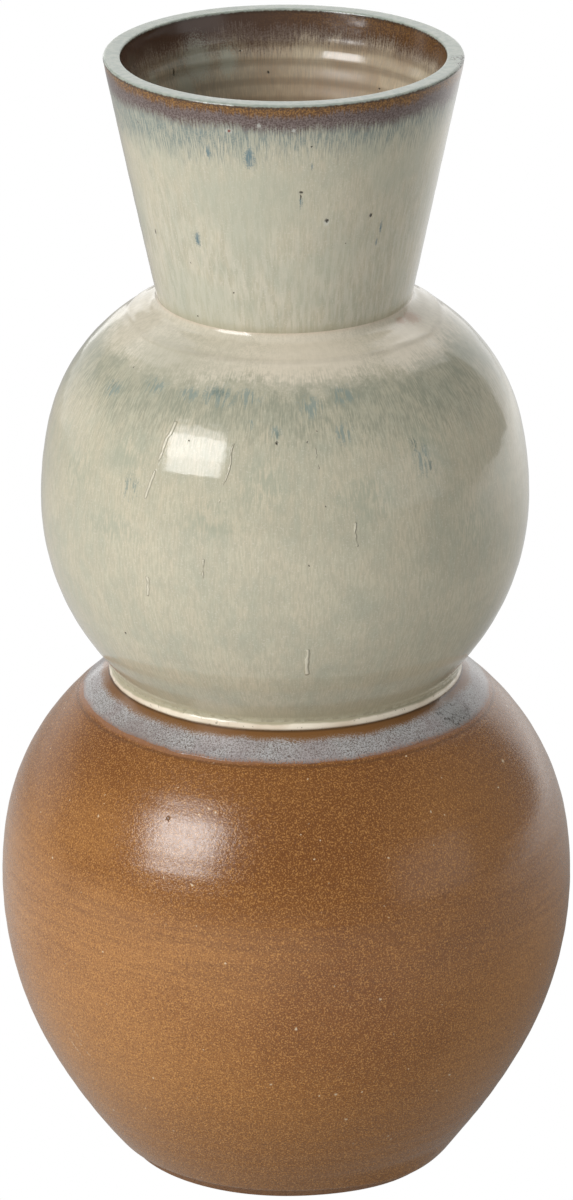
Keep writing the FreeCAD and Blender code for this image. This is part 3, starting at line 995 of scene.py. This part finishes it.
# Painted shadow: a thin dark line just under the bead.
make.lay((52, 38, 24), make.fade(from_waist, 0.0009, 0.0017, 0.55, 0.0))
web = make.fade(make.off(make.clouds(95.0, 4.0, 0.7), 0.5), 0.004, 0.020, 1.0, 0.0)
crazed = make.spots((60, 195, 13, 0.8))
make.lay((128, 132, 130), crazed, 0.35)
make.lay((64, 58, 50), web, make.fade(crazed, 0.1, 0.6))
make.finish(make.plus(make.clouds(500.0, 2.0), make.times(grain, 0.3)), 0.00005)

# %% Cream bead glaze, clay and slip
cream = make = Glaze("bead_glaze", 0.13)
patches = make.clouds(60.0, 3.0)
make.colour = make.shades(make.fade(patches, 0.35, 0.65), (232, 222, 203), (214, 199, 177))
make.lay((120, 112, 92), make.specks(700.0, 0.70, 0.03), 0.6)
make.lay((158, 152, 126), make.fade(make.plus(make.level, make.sway(patches, 0.0003)),
                                    coil[1] + 0.4 * coil_radius, coil[1] + 0.8 * coil_radius,
                                    0.0, 0.85))
# Painted shade on the underside of the bead.
make.lay((120, 100, 74), make.fade(make.level, 0.1996, 0.2004, 0.8, 0.0))
make.finish(make.clouds(400.0, 2.0), 0.00008)

clay = make = Glaze("stoneware_clay", 0.6)
make.colour = make.shades(make.clouds(30.0, 3.0), (146, 98, 56), (158, 112, 70))
make.lay((112, 72, 38), make.specks(1300.0, 0.56, 0.10))
make.finish(make.clouds(1500.0, 2.0), 0.00005)

slip = make = Glaze("fired_slip", 0.7)
make.put(make.sockets["Base Color"],
         make.shades(make.clouds(400.0, 2.0), (150, 122, 96), (128, 98, 72)))

# %% [markdown]
# ## The celadon glaze
# The neck and the upper bulb share a glossy grey-green glaze. It is cream where it is thin and
# greener, then blue, where it is thick, so a mottled band lies where the shoulder turns over. On
# the way down, bubbles left pinholes and raised threads.

# %% Celadon of the upper bulb
blue_patches = ((-56.5, 329.9, 6.0, 0.8), (-41.8, 335.2, 7.0, 0.6), (-29, 335, 6.0, 0.6),
                (-20, 335.5, 9.0, 0.6), (-11, 336, 7.0, 0.6), (7.5, 333, 6.0, 1.2),
                (17.5, 336, 7.0, 0.7), (-9.1, 328, 1.5, 4.5), (15.6, 324.3, 5.0, 1.2),
                (-39.5, 299.4, 4.5, 1.5), (-2.4, 325, 3.2, 1.4), (36, 312, 4.5, 2.4),
                (120, 332, 8.0, 1.0), (-150, 334, 10.0, 0.8))
dark_runs = ((34.4, 317.5, 1.9, 2.6), (37.9, 308.5, 1.6, 3.0), (-57, 331, 2.6, 0.9),
             (-2.4, 324.6, 1.6, 1.4), (-20, 336.5, 4.0, 0.5), (160, 320, 1.4, 3.0))
green_clouds = ((-45, 283, 19, 0.45), (-60, 300, 14, 0.9), (-18, 292, 16, 0.7),
                (20, 300, 17, 0.8), (38, 315, 15, 1.0), (-5, 308, 14, 1.1), (-42, 312, 13, 1.0),
                (50, 280, 16, 0.8))
bulb_pits = ((-2.1, 322.0, 0.8, 1.5), (8.5, 325.6, 0.5, 1.0), (5.9, 322.1, 0.5, 1.0),
             (9.6, 299.2, 0.45, 1.6), (5.5, 276.4, 0.45, 1.6), (-43.4, 238.1, 0.6, 1.4),
             (-25.3, 320.5, 0.45, 1.0), (-54, 338, 0.5, 1.0), (100, 300, 0.6, 1.0))
bulb_threads = (((-30.5, 325.5), (-32.0, 315.5), 1.0), ((-32.0, 315.5), (-34.8, 297.5), 0.9),
                ((-13.0, 321), (-14.0, 312.0), 0.55), ((-14.0, 312.0), (-15.9, 300), 0.5),
                ((-33.6, 266), (-33.8, 259), 0.9), ((-19.3, 277), (-19.3, 270), 0.8),
                ((5.4, 240), (5.4, 229), 1.2), ((7.5, 322), (8.4, 312), 0.35),
                ((16.4, 292), (16.6, 283), 0.7), ((130, 310), (131, 280), 0.7))
celadon = make = Glaze("bulb_celadon_glaze", 0.09, 0.42, upper_coat_line)
hair, cloud = make.start_running()
mottle = make.clouds(150.0, 3.0, 0.6)
flecked = make.clouds(420.0, 2.0, 0.6)
mottled_hair = make.plus(mottle, hair)
ragged = make.plus(make.level, make.fade(make.clouds(26.0, 2.0), 0.32, 0.68, -0.0022, 0.0022),
                   make.sway(hair, 0.0022), make.sway(flecked, 0.0012))
dry = make.shades(make.fade(make.plus(flecked, hair), 0.84, 1.16), (193, 186, 168),
                  (206, 198, 180))
shoulder = make.times(make.fade(ragged, 0.3355, 0.3450), 0.80)
make.colour = make.mix(shoulder, make.colour, dry)
# Painted light and shade on the shoulder: lighter patches at the front and on the right, and a
# darker, greener patch on the left.
make.lay((220, 209, 190), make.spots((10, 346, 34, 0.5), (54, 345, 28, 0.5)), 0.5)
make.lay((170, 167, 149), make.spots((-44, 343, 26, 0.5)), 0.6)
to_crease = make.minus(upper_length, make.run)
ridge_line = make.fade(make.off(to_crease, 0.0164), 0.0004, 0.0020, 0.32, 0.0)
make.lay((158, 151, 134), ridge_line, make.fade(cloud, 0.35, 0.60))
thick = make.times(make.fade(ragged, 0.3150, 0.3320),
                   make.fade(ragged, 0.3365, 0.3435, 1.0, 0.0))
make.lay((142, 144, 127), make.times(thick, make.fade(mottled_hair, 0.75, 1.25, 0.35, 1.0)), 0.90)
make.lay((158, 161, 143), make.times(make.spots(*green_clouds),
                                     make.fade(mottled_hair, 0.80, 1.20)), 0.65)
streaked = make.plus(make.hairs(800.0, 0.20, 0.40, 0.60)["Mask"], hair)
make.lay((126, 140, 134), make.times(make.spots(*blue_patches),
                                     make.fade(streaked, 0.70, 1.40)), 0.75)
make.lay((98, 114, 108), make.times(make.spots(*dark_runs), make.fade(hair, 0.40, 0.58)), 0.65)
make.lay((170, 162, 134), make.fade(make.level, 0.204, 0.214, 0.5, 0.0))
make.lay((120, 112, 90), make.times(make.fade(make.run, 0.0012, 0.0032, 1.0, 0.0),
                                    make.fade(make.clouds(420.0, 2.0), 0.46, 0.58)), 0.40)
make.lay((198, 176, 152), make.fade(to_crease, 0.0012, 0.0042, 1.0, 0.0), 0.7)
make.lay((170, 132, 106), make.spots((68, 350.5, 7.0, 0.4), (60, 351.2, 4.0, 0.4)), 0.6)
pits = make.spots(*bulb_pits)
make.lay((62, 60, 50), pits)
trails = make.threads(*bulb_threads)
# Painted shadow: a dark fringe along each side of a raised thread.
make.lay((142, 137, 118), make.times(trails, make.minus(1.0, trails)), 1.3)
make.lay((216, 210, 190), make.fade(trails, 0.5, 0.9, 0.0, 0.65))
height = make.plus(make.times(hair, 0.30), make.clouds(240.0, 1.0), make.times(trails, 9.0))
make.finish(make.minus(height, make.times(pits, 5.0)), 0.00005)

# %% [markdown]
# ## The glaze breaking over the lip
# On the neck the same celadon is drawn away from the edge by its own weight. The crown of the
# lip stays pale, its edge burns to a dark ragged line, and below it follow amber, mauve and blue
# hairs that fade into the cream. The same order repeats inside, with a browner lining below.

# %% Marks on the neck and in the bore
neck_blues = ((-11.5, 427.5, 2.6, 2.6), (-25.9, 429, 1.3, 4.0), (6.0, 409.0, 0.8, 9.0),
              (39.2, 394.4, 0.9, 9.0), (38.0, 388, 0.6, 6.0), (-35.1, 390.2, 1.6, 3.2),
              (-28, 436, 0.5, 9.0), (9.5, 424, 0.5, 8.0), (140, 400, 1.6, 4.0),
              (-130, 420, 1.4, 4.0))
neck_pits = ((5.9, 413.7, 1.2, 0.6), (5.9, 411.5, 0.45, 5.0), (15.8, 401.1, 1.1, 1.0),
             (33.6, 400.6, 0.95, 1.2), (-40.5, 379.4, 0.4, 1.5), (-21.4, 369.9, 0.5, 1.3),
             (-41.4, 356.9, 0.5, 1.0), (-60.2, 387.4, 0.4, 9.0), (-56.8, 433.6, 0.6, 1.2),
             (9.1, 432.6, 0.55, 1.0), (24, 390.5, 0.35, 1.0), (120, 410, 0.6, 1.0))
neck_halos = ((15.8, 400.4, 1.7, 1.2), (-7.9, 441.4, 1.3, 1.0), (3.2, 439.5, 1.2, 1.0),
              (-17.8, 438.5, 1.9, 0.7))
bore_milk = ((-145, 433, 9.0, 1.3), (-138, 424, 7.0, 1.4), (-158, 431, 5.0, 1.8),
             (-120, 428, 5.0, 2.0))
bore_pits = ((-163.5, 434.4, 0.7, 1.0), (-174, 425.6, 0.7, 1.0), (139, 423, 0.6, 1.0),
             (-133, 431, 0.5, 5.0))

# %% Celadon of the neck and the lining
neck_glaze = make = Glaze("neck_celadon_glaze", 0.09, 0.5, neck_line[:peak])
bore_line = neck_line[peak:]
hair, cloud = make.start_running()
hair_and_cloud = make.plus(hair, cloud)
grain = make.clouds(1500.0, 2.0, 0.6)
to_right = make.add("ShaderNodeSeparateXYZ", {0: make.place}).outputs[0]
over_lip = (outer_edge + inner_edge) / 2
inside = make.sums("GREATER_THAN", make.run, over_lip)
drift = make.hairs(420.0, 0.22, 0.40, 0.62)["Mask"]
make.lay((209, 203, 186), make.fade(make.level, 0.3700, 0.4200, 0.36, 0.12), drift)
make.lay((170, 172, 154), make.fade(make.clouds(38.0, 3.0), 0.46, 0.66, 0.0, 0.40))
lining = make.shades(make.fade(make.clouds(60.0, 3.0), 0.36, 0.66), (196, 178, 150),
                     (170, 146, 118))
# Painted shade: darker bands along the throwing rings of the bore.
ring_shade_wave = make.sums("SINE", make.times(make.run, 2 * pi / ring_pitch))
# Painted shade: the lining of the left inner wall, away from the window, is greyer and darker.
painted_shade_left = make.times(make.fade(to_right, -0.045, 0.005, 0.75, 0.0),
                     make.fade(hair_and_cloud, 0.85, 1.10, 0.35, 1.0))
for paint, mask in (((150, 138, 120), make.fade(hair, 0.35, 0.65, 0.0, 0.4)),
                    ((160, 134, 106), make.fade(make.level, 0.400, 0.425, 0.6, 0.0)),
                    ((116, 94, 72), make.fade(ring_shade_wave, -0.2, 1.0, 0.0, 0.35)),
                    ((130, 128, 114), painted_shade_left)):
    lining = make.laid(lining, paint, mask)
make.colour = make.mix(inside, make.colour, lining)

# %% Blue hairs, mauve and amber below the lip
strand = make.hairs(1900.0, 0.10, 0.40, 0.62)
stretch = make.times(inside, make.fade(to_right, -0.05, 0.01, 0.6, 0.5))
deeper = make.sums("DIVIDE", make.minus(vase_height, make.level), make.plus(1.0, stretch))
quick = make.plus(make.sway(strand["Wave"], 0.0013), make.sway(grain, 0.0006))
ragged = make.plus(deeper, quick, make.sway(make.clouds(55.0, 2.0), 0.0011))
far = make.minus(make.plus(ragged, make.sway(strand["Wave"], 0.0035)),
                 make.fade(to_right, -0.06, 0.0, 0.005, 0.0))
blue = make.fade(far, 0.0100, 0.0260, 1.0, 0.0)
for thinning in (make.fade(strand["Mask"], 0.0, 1.0, 1.0, 0.56),
                 make.fade(grain, 0.36, 0.60, 0.62, 1.0), make.fade(inside, 0.0, 1.0, 1.0, 0.3)):
    blue = make.times(blue, thinning)
make.lay((115, 126, 121), blue)
on_right = make.times(make.minus(1.0, inside), make.fade(to_right, -0.005, 0.035, 0.0, 0.0012))
held = make.times(inside, make.fade(to_right, -0.02, 0.04, 0.0012, 0.0034))
haze = make.shades(make.fade(grain, 0.36, 0.64), (76, 60, 54), (112, 98, 95))
haze = make.laid(haze, (94, 76, 60), inside, 0.6)
mauve = make.fade(make.minus(make.plus(ragged, held), on_right), 0.0073, 0.0134, 1.0, 0.0)
make.colour = make.mix(mauve, make.colour, haze)
reach = make.times(inside, make.fade(to_right, -0.050, -0.010, 0.0024, 0.0008))
iron = make.shades(make.fade(grain, 0.40, 0.66), (82, 51, 18), (142, 101, 44))
iron = make.laid(iron, (74, 54, 42), inside, make.fade(to_right, -0.03, 0.05, 1.0, 0.5))
amber = make.fade(make.minus(ragged, make.plus(reach, on_right)), 0.0027, 0.0049, 1.0, 0.0)
make.colour = make.mix(amber, make.colour, iron)

# %% Crown of the lip, spots and gloss
from_middle = make.off(make.run, over_lip)
make.lay((58, 42, 28), make.fade(make.plus(from_middle, make.sway(grain, 0.0003)),
                                 0.0042, 0.0054, 1.0, 0.0), 0.85)
ash = make.shades(make.fade(make.clouds(340.0, 3.0), 0.36, 0.64), (160, 166, 155),
                  (143, 152, 143))
crown = make.fade(make.plus(from_middle, make.sway(make.clouds(900.0, 2.0), 0.0002)),
                  0.0035, 0.0043, 1.0, 0.0)
make.colour = make.mix(crown, make.colour, ash)
crawl = make.times(make.spots((84, 449.6, 6.0, 0.3), (78, 449.3, 4.0, 0.3)),
                   make.fade(make.clouds(700.0, 2.0), 0.50, 0.56))
make.lay((60, 46, 38), crawl)
make.lay((160, 152, 126), make.fade(make.level, 0.3535, 0.3575, 0.45, 0.0))
milky = make.times(make.spots(*bore_milk, outline=bore_line), 0.65)
make.lay((162, 166, 152), milky, inside)
make.lay((86, 113, 121), make.times(make.spots(*neck_blues),
                                    make.fade(hair_and_cloud, 0.78, 1.10, 0.35, 1.0)), 0.9)
make.lay((196, 198, 190), make.spots(*neck_halos), 0.55)
make.lay((116, 66, 54), make.spots((-17.8, 438.5, 1.0, 0.9)))
pits = make.most(make.spots(*neck_pits), make.spots(*bore_pits, outline=bore_line))
make.lay((58, 54, 44), pits)
duller_below = make.fade(make.level, 0.4285, 0.4325, 0.20, 0.0)
make.put(make.sockets["Roughness"],
         make.plus(make.times(inside, make.plus(duller_below, 0.06)), 0.09))
height = make.plus(make.times(hair, 0.30), make.clouds(240.0, 1.0))
make.finish(make.minus(height, make.times(make.most(pits, crawl), 5.0)), 0.00005)

# %% Liner glaze in the two bulbs
liner = make = Glaze("liner_glaze", 0.15)
make.colour = make.shades(make.fade(make.clouds(50.0, 3.0), 0.35, 0.65), (140, 120, 98),
                          (122, 104, 86))
make.lay((98, 82, 66), make.specks(900.0, 0.58, 0.08), 0.4)
make.finish(make.clouds(200.0, 1.0), 0.0001)

# %% [markdown]
# ## Giving each piece its finish
# A new piece rides on the pot and stands for its solid, which is hidden. It takes the finish listed
# beside it; the slot in each row is not read.
# The solids that stay get the same glazes through their own material slots.

# %% Dress the pieces
dressing = (
    (foot_clay, "lower_bulb", "stoneware", clay),
    (lower_bulb_coat, "lower_bulb_glaze", "tan_iron_glaze", tan),
    (shoulder_band_coat, "shoulder_glaze_band", "lavender_band_glaze", lavender),
    (bead_coat, "waist_bead_glaze", "bead_glaze", cream),
    (upper_bulb_coat, "upper_bulb_glaze", "bulb_celadon_glaze", celadon),
    (neck_coat, "neck_glaze", "neck_celadon_glaze", neck_glaze),
    (rim_coat, "rim_glaze", "rim_glaze", neck_glaze),
    (neck_liner_coat, "neck_liner_glaze", "liner_glaze", neck_glaze),
)
for piece, node, slot, finish in dressing:
    piece.data.materials.append(finish.material)
    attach(piece, "root")
    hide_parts(node)

kept = {"upper_bulb": clay, "neck": clay, "waist_bead": clay, "neck_slip_seam": slip,
        "waist_slip_seam": slip, "upper_bulb_liner_glaze": liner, "lower_bulb_liner_glaze": liner}
for node, finish in kept.items():
    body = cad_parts[node]
    if not body.material_slots:
        body.data.materials.append(finish.material)
    for holder in body.material_slots:
        holder.material = finish.material
print("pieces made:", len(dressing), "solids kept:", len(kept))

# %% [markdown]
# ## Table, background and light
# The vase stands on a white table in front of a white wall, so the camera sees plain white behind
# it. A tall window at the upper left is made of four soft strips, one above the other, that touch
# but never overlap, so its brightness can change from top to bottom. Weaker panels at the right, at
# the left and behind the vase light its edges. The table glows up onto the lower half, and that
# glow is painted light: a bright pool under the window, a painted shadow of the vase behind it on
# the right, and a brighter patch further back on the right.

# %% Table
warm_white, plain_white = (1, 0.99, 0.97, 1), (1, 1, 1, 1)


def white_for_camera(make, kind, strength, output):
    """Ends a tree in warm light of a strength, which the camera sees as plain white."""
    warm = make.add(kind, {"Color": warm_white, "Strength": strength})
    plain = make.add(kind, {"Color": plain_white, "Strength": 1.0})
    path = make.add("ShaderNodeLightPath")
    both = make.add("ShaderNodeMixShader", {0: path.outputs["Is Camera Ray"],
                                            1: warm.outputs[0], 2: plain.outputs[0]})
    make.add(output, {0: both.outputs[0]})


half = 7.0
table_mesh = bpy.data.meshes.new("table")
table_mesh.from_pydata([(-half, -half, 0), (half, -half, 0), (half, half, 0), (-half, half, 0)],
                       [], [(0, 1, 2, 3)])
table = bpy.data.objects.new("table", table_mesh)
bpy.context.collection.objects.link(table)
table_paint = bpy.data.materials.new("white_table")
table_paint.use_nodes = True
table_paint.node_tree.nodes.clear()
make = Recipe(table_paint.node_tree)
where = make.add("ShaderNodeNewGeometry").outputs["Position"]


def painted_table_patch(middle, near, far, start, end):
    """Painted light and shade of the table, which change with the distance from a middle."""
    return make.fade(make.vector("DISTANCE", where, middle), near, far, start, end)


# Painted light on the table: a bright pool under the window, a painted shadow of the vase behind it
# on the right, and a brighter patch further back on the right.
painted_table_light = make.times(painted_table_patch((-0.9, -1.1, 0.0), 0.2, 2.4, 1.15, 0.45),
                  painted_table_patch((0.10, 0.09, 0.0), 0.06, 0.42, 0.35, 1.0))
painted_table_light = make.plus(painted_table_light, painted_table_patch((1.5, 1.3, 0.0), 0.5, 1.7, 1.15, 0.0))
white_for_camera(make, "ShaderNodeEmission", painted_table_light, "ShaderNodeOutputMaterial")
table_mesh.materials.append(table_paint)

# %% Background and lights
world = bpy.data.worlds.new("studio")
world.use_nodes = True
world.node_tree.nodes.clear()
room_glow = 0.40
white_for_camera(Recipe(world.node_tree), "ShaderNodeBackground", room_glow,
                 "ShaderNodeOutputWorld")
bpy.context.scene.world = world
bpy.context.scene.view_settings.view_transform = "Standard"


def soft_light(name, azimuth, elevation, reach, width, height, radiance, roll=0, lift=0, slide=0):
    """Rectangular light that faces the vase, placed by its direction and distance from it."""
    a, e = radians(azimuth), radians(elevation)
    direction = Vector((sin(a) * cos(e), -cos(a) * cos(e), sin(e)))
    data = bpy.data.lights.new(name, "AREA")
    data.shape = "RECTANGLE"
    data.size, data.size_y = width, height
    data.energy = pi * width * height * radiance
    light = bpy.data.objects.new(name, data)
    facing = direction.to_track_quat("Z", "Y").to_matrix().to_4x4()
    facing = facing @ Matrix.Rotation(radians(roll), 4, "Z")
    light.rotation_euler = facing.to_euler()
    middle = Vector((0, 0, 0.25 + lift))
    light.location = middle + direction * reach + facing @ Vector((0, slide, 0))
    light.visible_camera = False
    bpy.context.collection.objects.link(light)


window = (("key_top", 1.34, 0.28, 6.0, 0.66), ("key_upper", 1.62, 0.39, 12.0, 0.325),
          ("key_middle", 1.62, 0.45, 12.0, -0.095), ("key_lower", 1.56, 0.48, 9.0, -0.56))
for name, width, height, radiance, slide in window:
    soft_light(name, -48, 28, 3.2, width, height, radiance, roll=10, slide=slide)
soft_light("fill_right", 62, 8, 3.0, 2.0, 1.2, 0.62)
soft_light("left_wall", -138, 0, 3.0, 3.0, 1.1, 0.4, lift=0.3)
soft_light("backdrop", 168, 0, 2.6, 3.2, 3.0, 0.9, lift=1.25)
soft_light("ceiling", 178, 54, 2.6, 4.6, 1.6, 0.9)
